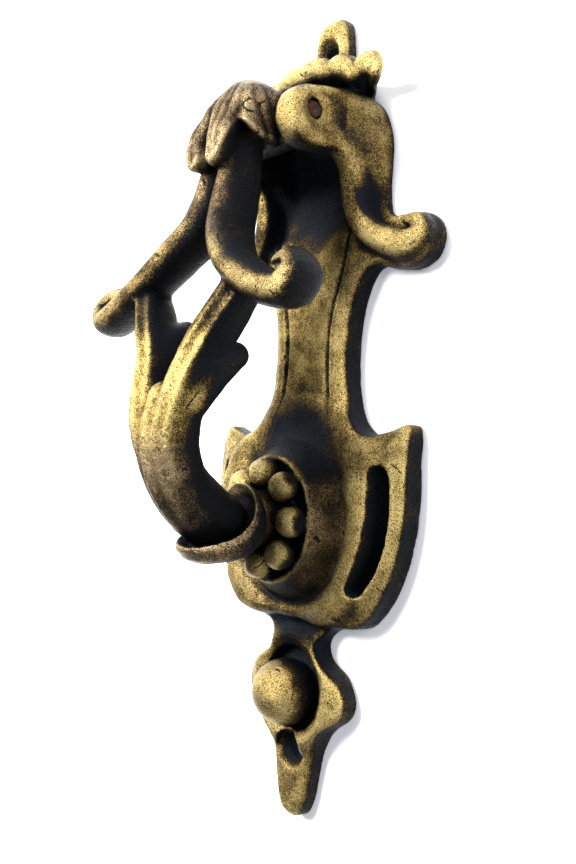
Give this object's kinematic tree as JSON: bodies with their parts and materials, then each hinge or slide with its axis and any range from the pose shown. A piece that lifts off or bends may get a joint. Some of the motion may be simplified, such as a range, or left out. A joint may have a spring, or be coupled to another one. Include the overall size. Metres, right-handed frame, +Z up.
{
  "type": "door knocker",
  "caption": "Ornate cast door knocker: a long scrolled backplate with a beaded striking boss and a lyre-shaped handle that swings on a steel pin under a scalloped hood.",
  "frame": {"origin": "centre of the plate's back face, in the plane of the door", "axes": "+Z up along the plate, -Y out of the door towards a visitor, +X to the visitor's right"},
  "size_m": [0.0996, 0.0603, 0.235],
  "materials": {
    "backplate_brass": "black patina with the raised surfaces rubbed back to gold",
    "handle_brass": "black patina worn to grey-brown gold on the front edges",
    "pin_steel": "rusted steel"
  },
  "bodies": {
    "plate": {"backplate": "backplate_brass", "hinge_pin": "pin_steel"},
    "knocker": {"handle": "handle_brass"}
  },
  "joints": [
    {"name": "handle_swing", "type": "hinge", "parent": "plate", "child": "knocker", "pos_m": [0, -0.0245, 0.079], "axis": [-1, 0, 0], "range_deg": [0, 100]}
  ]
}
